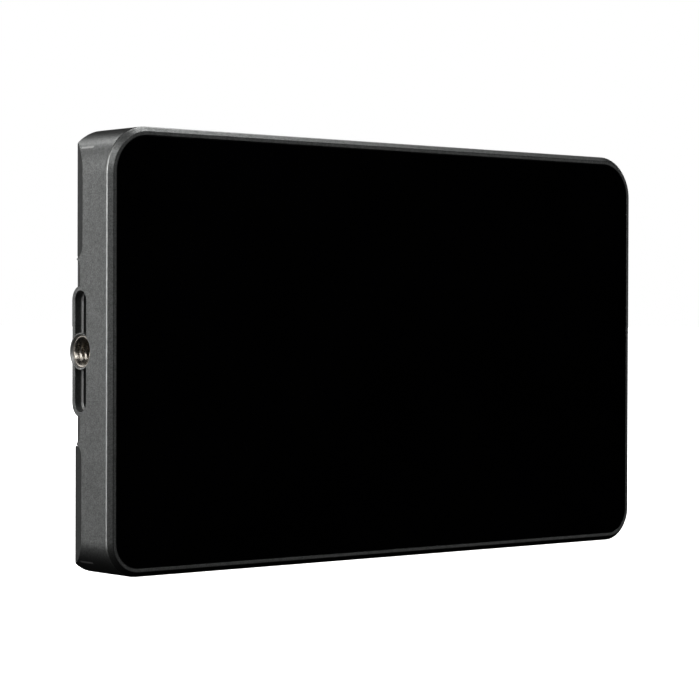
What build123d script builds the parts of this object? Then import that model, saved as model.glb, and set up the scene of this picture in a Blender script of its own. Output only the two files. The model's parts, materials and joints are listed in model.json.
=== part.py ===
"""LED panel light: a slim aluminium housing with a flush dark front window, loaded from the front.

Millimetres. X runs along the long side, Y runs from the front window towards the rear, Z is up.
The origin is at the centre of the bounding box, at its bottom. In the layout below, "depth" is the
distance behind the front plane, "across" is X, and "up" is the height above the middle of the panel.
"""
from build123d import *
import math
import os

os.makedirs("parts", exist_ok=True)

# How near two positions are when they count as the same.
MATCH = 0.01

# ---- Overall size -------------------------------------------------------------------------------
WIDTH = 171.0
HEIGHT = 103.0
BODY_DEPTH = 18.0
KNOB_PROUD = 2.4
TOP_RADIUS = 10.7
BOTTOM_RADIUS = 8.2
FRONT_CHAMFER = 1.15
EDGE_ROUNDS = {0: 0.3, FRONT_CHAMFER: 0.5, BODY_DEPTH: 0.8}

# ---- Housing walls, window seat and rear opening ------------------------------------------------
WALL = 3.2
SEAT_INSET = 1.95
SEAT_DEPTH = 1.9
REAR_WALL_FRONT = 15.0
COVER_FRONT = 16.0
COVER_WIDTH = 151.0
COVER_HEIGHT = 83.0
COVER_RADIUS = 6.0
COVER_GAP = 0.15
LEDGE = 4.0

# ---- Shallow bevels along the rear of the two short sides; they run out through the corners ------
UPPER_BEVEL_START = 10.85
UPPER_BEVEL_ANGLE = 25.5
LOWER_BEVEL_START = 11.15
LOWER_BEVEL_ANGLE = 23.1
BEVEL_INNER = 21.0
BEVEL_OUTER = 60.0
BEVEL_END_RADIUS = 3.5
MIDDLE_BEVEL_START = 11.75
MIDDLE_BEVEL_ANGLE = 29.2
MIDDLE_BEVEL_HALF = 22.0
BEVEL_CUT = 20.0

# ---- Slotted threaded mount in the left wall, and the plain one in the bottom wall ---------------
MOUNT_DEPTH = 11.65
BOSS_RADIUS = 4.35
SLOT_LENGTH = 27.8
SLOT_WIDTH = 4.4
SLOT_RIM = 1.15
SLOT_STEP_DEPTH = 1.9
SLOT_STEP = 0.5
SLOT_DEPTH = 4.0
SLOT_EDGE_ROUND = 0.2
MOUNT_PAD = 5.3
SIDE_PAD_HALF = 18.0
BOTTOM_PAD_HALF = 8.0
BOTTOM_MOUNT_DEPTH = 11.0
MOUTH_RADIUS = 4.0
INSERT_RECESS = 0.5
INSERT_RADIUS = 3.68
INSERT_LENGTH = 7.5
INSERT_FIT = 0.02
THREAD_MINOR_RADIUS = 2.55
THREAD_DEPTH = 6.5
COUNTERSINK_RADIUS = 3.3

# ---- Light engine, front to back ----------------------------------------------------------------
WINDOW_GAP = 0.25
WINDOW_THICKNESS = 1.6
GASKET_RECESS = 0.12
GASKET_FIT = 0.01
DIFFUSER_FRONT = 2.0
DIFFUSER_THICKNESS = 0.8
FRAME_WIDTH = 2.0
LED_BOARD_FRONT = 5.4
LED_BOARD_THICKNESS = 1.0
SPREADER_THICKNESS = 0.8
ENGINE_INSET = 3.5
LED_COLUMNS = 14
LED_ROWS = 8
LED_PITCH = 11.2
LED_SIZE = 3.0
LED_HEIGHT = 0.7

# ---- Screws -------------------------------------------------------------------------------------
SCREW_RADIUS = 1.0
SCREW_FIT = 0.03
SCREW_HOLE_PLAY = 0.1
HEAD_RADIUS = 1.9
HEAD_HEIGHT = 1.2
HEX_RADIUS = 0.95
HEX_DEPTH = 0.8
ENGINE_SCREW_LENGTH = 6.0
BRACKET_SCREW_LENGTH = 3.8
BOARD_SCREW_LENGTH = 5.5
PORT_SCREW_LENGTH = 4.0
COVER_SCREW_SHORT = 0.8
POST_RADIUS = 3.0
POST_HOLE_DEPTH = 5.0
POST_PLACES = [(x, z) for x in (-77.0, -26.0, 26.0, 77.0) for z in (-43.0, 43.0)]
BOSS_PLACES = [(x, z) for x in (-70.5, 8.0, 70.5) for z in (-36.5, 36.5)]
TAB_RADIUS = 4.0
TAB_FRONT = 11.5

# ---- Battery ------------------------------------------------------------------------------------
CELL_WIDTH = 36.0
CELL_CENTRES = [-50.0, -12.0]
CELL_LOW = -31.0
CELL_HIGH = 25.5
CELL_FRONT = 8.2
CELL_REAR = 14.6
CELL_EDGE = 2.0
CELL_CORNER = 1.5
CELL_PLAY = 0.3
FOAM_HALF_WIDTH = 14.0
FOAM_LOW = -24.0
FOAM_HIGH = 18.0
BRACKET_WALL = 1.2
BRACKET_HALF_HEIGHT = 32.2
BRACKET_FLOOR = 0.8
BRACKET_BACKLASH = 0.1
BRACKET_END_WALL = 1.0
NOTCH_GAP = 0.5
LUG_PLACES = [(x, z) for x in (-60.0, -2.0) for z in (-35.0, 35.0)]
LUG_RADIUS = 2.8
LUG_FRONT = 10.0
LUG_REAR = 11.2
LUG_ROOT = 0.6
STANDOFF_RADIUS = 2.4
PROTECTION_FRONT = 10.0
PROTECTION_REAR = 11.0
PROTECTION_GAP = 0.8
PROTECTION_HEIGHT = 4.0
BRIDGE_HEIGHT = 0.4

# ---- Control board, on bosses of the rear cover --------------------------------------------------
BOARD_FRONT = 9.6
BOARD_THICKNESS = 1.2
BOARD_LEFT = 13.0
BOARD_RIGHT = 68.0
BOARD_HALF_HEIGHT = 34.0
BOARD_SCREW_PLACES = [(x, z) for x in (16.0, 65.0) for z in (-31.0, 31.0)]
BOARD_BOSS_RADIUS = 2.2
INDUCTORS_ACROSS = [24.0, 33.0, 42.0]
INDUCTORS_UP = 24.0
INDUCTOR_SIZE = 7.0
INDUCTOR_CORNER = 1.2
INDUCTOR_HEIGHT = 2.2
CAPACITORS = 6
CAPACITOR_LEFT = 20.0
CAPACITOR_PITCH = 4.6
CAPACITOR_LENGTH = 3.2
CAPACITOR_LOW = 13.5
CAPACITOR_HIGH = 16.0
CAPACITOR_HEIGHT = 1.8
CHIPS_TOP = 5.0
CHIPS = [(30.0, 9.0, 1.0), (18.0, 5.0, 0.9), (46.0, 5.0, 0.9)]

# ---- Plug and socket that join the emitter board to the control board ---------------------------
CONNECTOR_PLACE = (40.0, -28.0)
CONNECTOR_LENGTH = 14.0
CONNECTOR_WIDTH = 4.0
CONNECTOR_JOIN = 8.2
CONNECTOR_CORNER = 0.6
PLUG_INSET = 0.5
CONNECTOR_WINDOW_PLAY = 2.0

# ---- Cooling grooves in the rear cover ----------------------------------------------------------
GROOVES = 18
GROOVE_PITCH = 4.0
GROOVE_LEFT = -65.0
GROOVE_LENGTH = 60.0
GROOVE_WIDTH = 1.8
GROOVE_DEPTH = 0.9

# ---- Rear controls ------------------------------------------------------------------------------
DIAL_PLACES = {"brightness": (58.0, 17.0), "colour": (58.0, -17.0)}
KNOB_RADIUS = 8.0
KNOB_GROOVES = 40
KNOB_GROOVE_RADIUS = 0.35
WELL_RADIUS = 8.8
WELL_DEPTH = 1.1
KNOB_LIFT = 0.3
KNOB_CHAMFER = 0.4
CAP_RADIUS = 5.5
CAP_THICKNESS = 0.5
CAP_FIT = 0.02
DIMPLE_RADIUS = 0.6
DIMPLE_DEPTH = 0.25
DIMPLE_INSET = 1.6
SHAFT_RADIUS = 1.75
SHAFT_FIT = 0.05
SHAFT_PRESS_FIT = 0.01
SHAFT_END_PLAY = 0.1
SHAFT_COVER = 1.0
BUSHING_RADIUS = 3.4
ENCODER_SIZE = 11.0
ENCODER_HEIGHT = 4.0
ENCODER_FLOOR = 1.4
BUSHING_PLAY = 0.1
BUTTON_PLACES = {"mode": (20.0, -17.0), "menu": (31.0, -17.0), "effect": (42.0, -17.0)}
BUTTON_RADIUS = 3.6
BUTTON_GAP = 0.35
BUTTON_PROUD = 0.6
BUTTON_CHAMFER = 0.3
COVER_PLAY = 0.1
FLANGE_RADIUS = 4.6
FLANGE_THICKNESS = 0.9
STEM_RADIUS = 1.4
SWITCH_SIZE = 6.0
SWITCH_CORNER = 0.5
SWITCH_HEIGHT = 2.0
SWITCH_FLOOR = 0.7
PLUNGER_LIFT = 0.5
PLUNGER_PLAY = 0.3
STEM_FRONT = 13.3
DISPLAY_FRONT = 14.5
DISPLAY_PLACE = (32.0, 16.0)
DISPLAY_WIDTH = 30.0
DISPLAY_HEIGHT = 18.0
LENS_THICKNESS = 1.0
LENS_CORNER = 1.45
LENS_GAP = 0.05
LENS_LEDGE = 2.0
DISPLAY_INSET = 1.0
HOLDER_WIDTH = 3.0
LIGHT_PIPE_PLACE = (46.0, 30.0)
LIGHT_PIPE_RADIUS = 1.0
LIGHT_PIPE_FIT = 0.02
LIGHT_PIPE_LIFT = 0.4

# ---- Ports in the right wall ---------------------------------------------------------------------
PORT_BOARD_THICKNESS = 1.0
PORT_BOARD_LEFT = 70.2
PORT_BOARD_HALF_HEIGHT = 19.0
PORT_WALL_GAP = 0.4
PORT_POST_PLACES = [(73.2, -16.5), (73.2, 16.5)]
PORT_POST_RADIUS = 2.2
PORT_POST_HOLE_DEPTH = 3.5
FLEX_HALF_HEIGHT = 5.0
FLEX_OVERLAP = 3.0
FLEX_THICKNESS = 0.2
USB_UP = -9.0
USB_WIDTH = 8.94
USB_HEIGHT = 3.26
USB_WALL = 0.3
USB_LENGTH = 9.1
USB_PLAY = 0.2
USB_RECESS = 0.6
USB_MOUTH_MARGIN = 1.1
USB_BACK = 1.0
TONGUE_THICKNESS = 0.7
TONGUE_WIDTH = 6.6
TONGUE_SETBACK = 1.0
TONGUE_ROOT = 1.2
TONGUE_FIT = 0.01
SWITCH_UP = 8.0
SLIDER_TRAVEL = 4.0
SLIDER_LENGTH = 5.0
SLIDER_WIDTH = 2.6
SLIDER_RISE = 1.8
SLIDER_SETBACK = 0.2
SLIDER_DEPTH_IN = 7.0
SLIDER_RIBS = 5
SLIDER_RIB_PITCH = 0.9
SLIDER_RIB_GAP = 0.4
SLIDER_RIB_DEPTH = 0.3
SLIDER_END_PLAY = 0.4
SLIDER_SIDE_PLAY = 0.3
SLIDER_GUIDE_PLAY = 0.1
SLIDER_POCKET_DEPTH = 1.3
SLIDER_POCKET_MARGIN = 2.5
SLIDER_POCKET_WIDTH = 4.8
POWER_SWITCH_WIDTH = 3.6
POWER_SWITCH_DEPTH = 5.6
POWER_SWITCH_MARGIN = 1.5

# ---- Values worked out from the ones above -------------------------------------------------------
TOTAL_DEPTH = BODY_DEPTH + KNOB_PROUD
FRONT_Y = -TOTAL_DEPTH / 2
MIDDLE_Z = HEIGHT / 2
LEFT_X = -WIDTH / 2
RIGHT_X = WIDTH / 2
SPREADER_FRONT = LED_BOARD_FRONT + LED_BOARD_THICKNESS
SPREADER_REAR = SPREADER_FRONT + SPREADER_THICKNESS
BOARD_REAR = BOARD_FRONT + BOARD_THICKNESS
PORT_BOARD_REAR = BOARD_FRONT + PORT_BOARD_THICKNESS
USB_DEPTH = PORT_BOARD_REAR + USB_HEIGHT / 2
SLIDER_DEPTH = PORT_BOARD_REAR + SLIDER_RISE
SLIDER_SLOT = SLIDER_LENGTH + SLIDER_TRAVEL + 2 * SLIDER_END_PLAY
PORT_INNER_X = WIDTH / 2 - WALL - PORT_WALL_GAP
USB_MOUTH_X = WIDTH / 2 - USB_RECESS
USB_BACK_X = USB_MOUTH_X - USB_LENGTH + USB_BACK
KNOB_FRONT = BODY_DEPTH - WELL_DEPTH + KNOB_LIFT
OPENING_WIDTH = COVER_WIDTH - 2 * LEDGE
OPENING_HEIGHT = COVER_HEIGHT - 2 * LEDGE
SHAFT_TIP = TOTAL_DEPTH - SHAFT_COVER


def layer(outline, front, rear):
    """A flat outline in X and Z, given thickness between two depths."""
    plane = Plane(origin=(0, FRONT_Y + rear, MIDDLE_Z), x_dir=(1, 0, 0), z_dir=(0, -1, 0))
    return extrude(plane * outline, amount=rear - front)


def at(place, outline):
    """An outline moved to a place across and up."""
    return Pos(place[0], place[1]) * outline


def disc(place, radius, front, rear):
    """A round piece along Y at a place across and up."""
    return layer(at(place, Circle(radius)), front, rear)


def block(left, right, low, high, front, rear):
    """A box given by its limits across, up and in depth."""
    centre = ((left + right) / 2, (low + high) / 2)
    return layer(at(centre, Rectangle(right - left, high - low)), front, rear)


def from_side(outline, outer_x, inner_x, up, depth):
    """An outline in depth and height, given thickness along X from a side wall inwards."""
    start = min(outer_x, inner_x)
    plane = Plane(origin=(start, FRONT_Y + depth, MIDDLE_Z + up), x_dir=(0, 1, 0), z_dir=(1, 0, 0))
    return extrude(plane * outline, amount=abs(outer_x - inner_x))


def panel_outline(inset):
    """The panel's rounded outline, moved inwards by an inset."""
    sheet = Rectangle(WIDTH - 2 * inset, HEIGHT - 2 * inset)
    sheet = fillet(sheet.vertices().sort_by(Axis.Y)[-2:], TOP_RADIUS - inset)
    return fillet(sheet.vertices().sort_by(Axis.Y)[:2], BOTTOM_RADIUS - inset)


def edges_at(solid, axis, position):
    """The edges of a solid that lie in one plane across an axis."""
    return solid.edges().filter_by_position(axis, position - MATCH, position + MATCH)


def side_bevel(low, high, start, angle):
    """The cutter of one milled bevel on the left side, between two heights."""
    lean = math.radians(angle)
    along = (math.sin(lean), math.cos(lean), 0)
    outwards = (-math.cos(lean), math.sin(lean), 0)
    origin = (LEFT_X, FRONT_Y + start, MIDDLE_Z + (low + high) / 2)
    outline = Pos(BEVEL_CUT / 2, 0) * RectangleRounded(BEVEL_CUT, high - low, BEVEL_END_RADIUS)
    return extrude(Plane(origin=origin, x_dir=along, z_dir=outwards) * outline, amount=BEVEL_CUT / 2)


def cap_screw(place, seat, length, towards_rear):
    """A pan head screw with a hex recess; the head stands on the seat depth."""
    step = 1 if towards_rear else -1
    head = sorted((seat, seat - step * HEAD_HEIGHT))
    shank = sorted((seat, seat + step * length))
    recess = sorted((seat - step * HEAD_HEIGHT, seat - step * (HEAD_HEIGHT - HEX_DEPTH)))
    screw = disc(place, HEAD_RADIUS, *head) + disc(place, SCREW_RADIUS - SCREW_FIT, *shank)
    return screw - layer(at(place, RegularPolygon(HEX_RADIUS, 6)), *recess)


def cover_screw_head(place):
    """The cone of a countersunk head that is flush with the rear cover."""
    head = Rot(-90, 0, 0) * Cone(SCREW_RADIUS, HEAD_RADIUS, HEAD_HEIGHT)
    return Pos(place[0], FRONT_Y + BODY_DEPTH - HEAD_HEIGHT / 2, MIDDLE_Z + place[1]) * head


def cover_screw(place):
    """A countersunk screw that holds the rear cover to the housing."""
    tip = TAB_FRONT + COVER_SCREW_SHORT
    shank = disc(place, SCREW_RADIUS - SCREW_FIT, tip, BODY_DEPTH - HEAD_HEIGHT)
    recess = layer(at(place, RegularPolygon(HEX_RADIUS, 6)), BODY_DEPTH - HEX_DEPTH, BODY_DEPTH)
    return cover_screw_head(place) + shank - recess


# ---- Housing ------------------------------------------------------------------------------------
def housing_shell():
    """The outer form with its front chamfer and side bevels, before it is hollowed."""
    shell = layer(panel_outline(0), 0, BODY_DEPTH)
    shell = chamfer(shell.faces().sort_by(Axis.Y)[0].edges(), FRONT_CHAMFER)
    for depth, radius in EDGE_ROUNDS.items():
        shell = fillet(edges_at(shell, Axis.Y, FRONT_Y + depth), radius)
    upper = side_bevel(BEVEL_INNER, BEVEL_OUTER, UPPER_BEVEL_START, UPPER_BEVEL_ANGLE)
    lower = side_bevel(-BEVEL_OUTER, -BEVEL_INNER, LOWER_BEVEL_START, LOWER_BEVEL_ANGLE)
    middle = side_bevel(-MIDDLE_BEVEL_HALF, MIDDLE_BEVEL_HALF, MIDDLE_BEVEL_START, MIDDLE_BEVEL_ANGLE)
    for cutter in (upper, lower):
        shell = shell - cutter - mirror(cutter, about=Plane.YZ)
    return shell - middle


def slotted_mount():
    """The stadium-shaped ring and round boss that stand out of the left side's bevel."""
    ring = SlotOverall(SLOT_LENGTH + 2 * SLOT_RIM, SLOT_WIDTH + 2 * SLOT_RIM, rotation=90)
    inner_x = LEFT_X + WALL + MOUNT_PAD
    ring = from_side(ring, LEFT_X, inner_x, 0, MOUNT_DEPTH)
    return ring + from_side(Circle(BOSS_RADIUS), LEFT_X, inner_x, 0, MOUNT_DEPTH)


def slot_edges(solid, depth_in, inset):
    """The edges of both slots at one depth in the left wall, inside the slots' outline less an inset."""
    half_width = SLOT_WIDTH / 2 - inset + MATCH
    half_length = SLOT_LENGTH / 2 - inset + MATCH
    found = edges_at(solid, Axis.X, LEFT_X + depth_in)
    found = found.filter_by(lambda edge: abs(edge.bounding_box().min.Y - FRONT_Y - MOUNT_DEPTH) < half_width)
    found = found.filter_by(lambda edge: abs(edge.bounding_box().max.Y - FRONT_Y - MOUNT_DEPTH) < half_width)
    found = found.filter_by(lambda edge: abs(edge.bounding_box().min.Z - MIDDLE_Z) < half_length)
    return found.filter_by(lambda edge: abs(edge.bounding_box().max.Z - MIDDLE_Z) < half_length)


def mount_slots():
    """The cutter of the two stepped slots, one above and one below the boss."""
    wide = SlotOverall(SLOT_LENGTH, SLOT_WIDTH, rotation=90)
    narrow = SlotOverall(SLOT_LENGTH - 2 * SLOT_STEP, SLOT_WIDTH - 2 * SLOT_STEP, rotation=90)
    cutter = from_side(wide, LEFT_X, LEFT_X + SLOT_STEP_DEPTH, 0, MOUNT_DEPTH)
    cutter = cutter + from_side(narrow, LEFT_X, LEFT_X + SLOT_DEPTH, 0, MOUNT_DEPTH)
    return cutter - from_side(Circle(BOSS_RADIUS), LEFT_X, LEFT_X + SLOT_DEPTH, 0, MOUNT_DEPTH)


def make_housing():
    housing = housing_shell() + slotted_mount()
    housing = housing - mount_slots()
    housing = fillet(slot_edges(housing, SLOT_STEP_DEPTH, SLOT_STEP), SLOT_EDGE_ROUND)
    housing = fillet(slot_edges(housing, 0, 0), SLOT_EDGE_ROUND)
    housing = housing - layer(panel_outline(SEAT_INSET), 0, SEAT_DEPTH)
    cavity = layer(panel_outline(WALL), SEAT_DEPTH, REAR_WALL_FRONT)
    inner_x = LEFT_X + WALL + MOUNT_PAD
    cavity = cavity - block(LEFT_X, inner_x, -SIDE_PAD_HALF, SIDE_PAD_HALF, SPREADER_REAR, REAR_WALL_FRONT)
    pad_top = WALL + MOUNT_PAD - MIDDLE_Z
    cavity = cavity - block(-BOTTOM_PAD_HALF, BOTTOM_PAD_HALF, -MIDDLE_Z, pad_top,
                            SPREADER_REAR, REAR_WALL_FRONT)
    for place in POST_PLACES:
        cavity = cavity - disc(place, POST_RADIUS, SPREADER_REAR, REAR_WALL_FRONT)
    for place in PORT_POST_PLACES:
        cavity = cavity - disc(place, PORT_POST_RADIUS, PORT_BOARD_REAR, REAR_WALL_FRONT)
    housing = housing - cavity
    opening = RectangleRounded(OPENING_WIDTH, OPENING_HEIGHT, LEDGE)
    housing = housing - layer(opening, REAR_WALL_FRONT, COVER_FRONT)
    for place in BOSS_PLACES:
        housing = housing + disc(place, TAB_RADIUS, TAB_FRONT, COVER_FRONT)
    recess = RectangleRounded(COVER_WIDTH, COVER_HEIGHT, COVER_RADIUS)
    housing = housing - layer(recess, COVER_FRONT, BODY_DEPTH)
    for place in BOSS_PLACES:
        housing = housing - disc(place, SCREW_RADIUS, TAB_FRONT, COVER_FRONT)
    for place in POST_PLACES:
        housing = housing - disc(place, SCREW_RADIUS, SPREADER_REAR, SPREADER_REAR + POST_HOLE_DEPTH)
    for place in PORT_POST_PLACES:
        hole_end = PORT_BOARD_REAR + PORT_POST_HOLE_DEPTH
        housing = housing - disc(place, SCREW_RADIUS, PORT_BOARD_REAR, hole_end)
    housing = housing - in_left_wall(insert_hole()) - in_bottom_wall(insert_hole())
    return housing - port_cuts()


def in_left_wall(tool):
    """A piece along Z, turned so that its top points out of the left wall at the slotted mount."""
    return Pos(LEFT_X, FRONT_Y + MOUNT_DEPTH, MIDDLE_Z) * (Rot(0, -90, 0) * tool)


def in_bottom_wall(tool):
    """A piece along Z, turned so that its top points out of the bottom wall at the plain mount."""
    return Pos(0, FRONT_Y + BOTTOM_MOUNT_DEPTH, 0) * (Rot(180, 0, 0) * tool)


def insert_hole():
    """The hole that a threaded insert is pressed into, with a funnel at its mouth."""
    radius = INSERT_RADIUS + INSERT_FIT
    funnel = Pos(0, 0, -INSERT_RECESS / 2) * Cone(radius, MOUTH_RADIUS, INSERT_RECESS)
    return funnel + Pos(0, 0, -INSERT_RECESS - INSERT_LENGTH / 2) * Cylinder(radius, INSERT_LENGTH)


def port_cuts():
    """The charging port, and the pocket and slot of the power slider, in the right wall."""
    inner_x = RIGHT_X - WALL
    port = SlotOverall(USB_WIDTH + 2 * USB_PLAY, USB_HEIGHT + 2 * USB_PLAY, rotation=90)
    margin = 2 * USB_MOUTH_MARGIN
    mouth = SlotOverall(USB_WIDTH + margin, USB_HEIGHT + margin, rotation=90)
    slot = Rectangle(SLIDER_WIDTH + 2 * SLIDER_SIDE_PLAY, SLIDER_SLOT)
    pocket = SlotOverall(SLIDER_SLOT + 2 * SLIDER_POCKET_MARGIN, SLIDER_POCKET_WIDTH, rotation=90)
    cuts = from_side(port, RIGHT_X, inner_x, USB_UP, USB_DEPTH)
    cuts = cuts + from_side(mouth, RIGHT_X, USB_MOUTH_X, USB_UP, USB_DEPTH)
    cuts = cuts + from_side(slot, RIGHT_X, inner_x, SWITCH_UP, SLIDER_DEPTH)
    return cuts + from_side(pocket, RIGHT_X, RIGHT_X - SLIDER_POCKET_DEPTH, SWITCH_UP, SLIDER_DEPTH)


# ---- Rear cover ---------------------------------------------------------------------------------
def make_rear_cover():
    """The plate that closes the rear, with cooling grooves, wells, holes and board bosses."""
    gap = COVER_GAP
    outline = RectangleRounded(COVER_WIDTH - 2 * gap, COVER_HEIGHT - 2 * gap, COVER_RADIUS - gap)
    cover = layer(outline, COVER_FRONT, BODY_DEPTH)
    for place in BOARD_SCREW_PLACES:
        cover = cover + disc(place, BOARD_BOSS_RADIUS, BOARD_REAR, COVER_FRONT)
        cover = cover - disc(place, SCREW_RADIUS, BOARD_REAR, COVER_FRONT)
    for place in DIAL_PLACES.values():
        cover = cover - disc(place, WELL_RADIUS, BODY_DEPTH - WELL_DEPTH, BODY_DEPTH)
        cover = cover - disc(place, BUSHING_RADIUS + BUSHING_PLAY, COVER_FRONT, BODY_DEPTH)
    for place in BUTTON_PLACES.values():
        cover = cover - disc(place, BUTTON_RADIUS + BUTTON_GAP, COVER_FRONT, BODY_DEPTH)
    gap = LENS_GAP
    lens = RectangleRounded(DISPLAY_WIDTH + 2 * gap, DISPLAY_HEIGHT + 2 * gap, LENS_CORNER + gap)
    cover = cover - layer(at(DISPLAY_PLACE, lens), BODY_DEPTH - LENS_THICKNESS, BODY_DEPTH)
    hole = Rectangle(DISPLAY_WIDTH - 2 * LENS_LEDGE, DISPLAY_HEIGHT - 2 * LENS_LEDGE)
    cover = cover - layer(at(DISPLAY_PLACE, hole), COVER_FRONT, BODY_DEPTH)
    cover = cover - disc(LIGHT_PIPE_PLACE, LIGHT_PIPE_RADIUS + LIGHT_PIPE_FIT, COVER_FRONT, BODY_DEPTH)
    for place in BOSS_PLACES:
        cover = cover - disc(place, SCREW_RADIUS, COVER_FRONT, BODY_DEPTH) - cover_screw_head(place)
    for index in range(GROOVES):
        centre = (GROOVE_LEFT + index * GROOVE_PITCH, 0)
        groove = SlotOverall(GROOVE_LENGTH, GROOVE_WIDTH, rotation=90)
        cover = cover - layer(at(centre, groove), BODY_DEPTH - GROOVE_DEPTH, BODY_DEPTH)
    return cover


# ---- Light engine -------------------------------------------------------------------------------
def make_front_window():
    return layer(panel_outline(SEAT_INSET + WINDOW_GAP), 0, WINDOW_THICKNESS)


def make_window_gasket():
    """An L-shaped ring: around the window's edge and between the window and its seat."""
    edge = panel_outline(SEAT_INSET + GASKET_FIT) - panel_outline(SEAT_INSET + WINDOW_GAP)
    seat = panel_outline(SEAT_INSET + GASKET_FIT) - panel_outline(WALL)
    return layer(edge, GASKET_RECESS, WINDOW_THICKNESS) + layer(seat, WINDOW_THICKNESS, SEAT_DEPTH)


def make_diffuser():
    return layer(panel_outline(ENGINE_INSET), DIFFUSER_FRONT, DIFFUSER_FRONT + DIFFUSER_THICKNESS)


def make_reflector_frame():
    ring = panel_outline(ENGINE_INSET) - panel_outline(ENGINE_INSET + FRAME_WIDTH)
    return layer(ring, DIFFUSER_FRONT + DIFFUSER_THICKNESS, LED_BOARD_FRONT)


def engine_plate(front, rear):
    """A plate that fills the housing behind the reflector, with holes for the post screws."""
    plate = layer(panel_outline(ENGINE_INSET), front, rear)
    for place in POST_PLACES:
        plate = plate - disc(place, SCREW_RADIUS + SCREW_HOLE_PLAY, front, rear)
    return plate


def make_heat_spreader():
    plate = engine_plate(SPREADER_FRONT, SPREADER_REAR)
    window = Rectangle(CONNECTOR_LENGTH + CONNECTOR_WINDOW_PLAY, CONNECTOR_WIDTH + CONNECTOR_WINDOW_PLAY)
    return plate - layer(at(CONNECTOR_PLACE, window), SPREADER_FRONT, SPREADER_REAR)


def make_leds(warm):
    """Every other emitter of the grid: the warm white ones, or the cool white ones."""
    emitters = []
    for column in range(LED_COLUMNS):
        for row in range(LED_ROWS):
            if (column + row) % 2 == (0 if warm else 1):
                across = (column - (LED_COLUMNS - 1) / 2) * LED_PITCH
                up = (row - (LED_ROWS - 1) / 2) * LED_PITCH
                half = LED_SIZE / 2
                emitters.append(block(across - half, across + half, up - half, up + half,
                                      LED_BOARD_FRONT - LED_HEIGHT, LED_BOARD_FRONT))
    return Compound(emitters)


# ---- Battery ------------------------------------------------------------------------------------
def make_cell(centre):
    """A soft pouch cell with rounded long edges."""
    outline = RectangleRounded(CELL_WIDTH, CELL_HIGH - CELL_LOW, CELL_CORNER)
    cell = layer(at((centre, (CELL_LOW + CELL_HIGH) / 2), outline), CELL_FRONT, CELL_REAR)
    return fillet(cell.edges().filter_by(Axis.Z), CELL_EDGE)


def make_battery_bracket():
    """An open tray over both cells, with a rib between them, a notch in the rib, and four screw lugs."""
    half = CELL_WIDTH / 2 + CELL_PLAY
    left = CELL_CENTRES[0] - half - BRACKET_WALL
    right = CELL_CENTRES[1] + half + BRACKET_WALL
    high = BRACKET_HALF_HEIGHT
    inner = high - BRACKET_END_WALL
    floor = CELL_REAR + BRACKET_BACKLASH
    bracket = block(left, right, -high, high, CELL_FRONT, floor + BRACKET_FLOOR)
    for centre in CELL_CENTRES:
        bracket = bracket - block(centre - half, centre + half, -inner, inner, CELL_FRONT, floor)
    bracket = bracket - block(*CELL_CENTRES, CELL_HIGH + NOTCH_GAP, inner, CELL_FRONT, floor)
    for place in LUG_PLACES:
        sign = 1 if place[1] > 0 else -1
        web = sorted((sign * (high - LUG_ROOT), place[1]))
        bracket = bracket + disc(place, LUG_RADIUS, LUG_FRONT, LUG_REAR)
        bracket = bracket + block(place[0] - LUG_RADIUS, place[0] + LUG_RADIUS, *web, LUG_FRONT, LUG_REAR)
        bracket = bracket - disc(place, SCREW_RADIUS + SCREW_HOLE_PLAY, LUG_FRONT, LUG_REAR)
    return bracket


def make_protection_board():
    """The thin circuit board above the cells: a half over each cell, joined by a narrow bridge."""
    low = CELL_HIGH + PROTECTION_GAP
    high = low + PROTECTION_HEIGHT
    board = block(*CELL_CENTRES, high - BRIDGE_HEIGHT, high, PROTECTION_FRONT, PROTECTION_REAR)
    for centre in CELL_CENTRES:
        left = centre - CELL_WIDTH / 2
        board = board + block(left, left + CELL_WIDTH, low, high, PROTECTION_FRONT, PROTECTION_REAR)
    return board


def make_battery_pads():
    """Two foam pads between the cells and the heat spreader."""
    pads = []
    for centre in CELL_CENTRES:
        left = centre - FOAM_HALF_WIDTH
        right = centre + FOAM_HALF_WIDTH
        pads.append(block(left, right, FOAM_LOW, FOAM_HIGH, SPREADER_REAR, CELL_FRONT))
    return Compound(pads)


def make_standoffs():
    """Round standoffs on the heat spreader that carry the battery bracket."""
    pieces = []
    for place in LUG_PLACES:
        tube = disc(place, STANDOFF_RADIUS, SPREADER_REAR, LUG_FRONT)
        pieces.append(tube - disc(place, SCREW_RADIUS, SPREADER_REAR, LUG_FRONT))
    return Compound(pieces)


# ---- Control board ------------------------------------------------------------------------------
def make_control_board():
    board = block(BOARD_LEFT, BOARD_RIGHT, -BOARD_HALF_HEIGHT, BOARD_HALF_HEIGHT, BOARD_FRONT, BOARD_REAR)
    for place in BOARD_SCREW_PLACES:
        board = board - disc(place, SCREW_RADIUS + SCREW_HOLE_PLAY, BOARD_FRONT, BOARD_REAR)
    return board


def make_inductors():
    """Three shielded power inductors on the front of the control board."""
    outline = RectangleRounded(INDUCTOR_SIZE, INDUCTOR_SIZE, INDUCTOR_CORNER)
    pieces = []
    for across in INDUCTORS_ACROSS:
        place = (across, INDUCTORS_UP)
        pieces.append(layer(at(place, outline), BOARD_FRONT - INDUCTOR_HEIGHT, BOARD_FRONT))
    return Compound(pieces)


def make_capacitors():
    """A row of ceramic capacitors on the front of the control board."""
    pieces = []
    for index in range(CAPACITORS):
        left = CAPACITOR_LEFT + index * CAPACITOR_PITCH
        right = left + CAPACITOR_LENGTH
        pieces.append(block(left, right, CAPACITOR_LOW, CAPACITOR_HIGH,
                            BOARD_FRONT - CAPACITOR_HEIGHT, BOARD_FRONT))
    return Compound(pieces)


def make_chips():
    """The controller and the two emitter drivers, on the front of the control board."""
    pieces = []
    for left, size, height in CHIPS:
        low = CHIPS_TOP - size
        pieces.append(block(left, left + size, low, CHIPS_TOP, BOARD_FRONT - height, BOARD_FRONT))
    return Compound(pieces)


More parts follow.
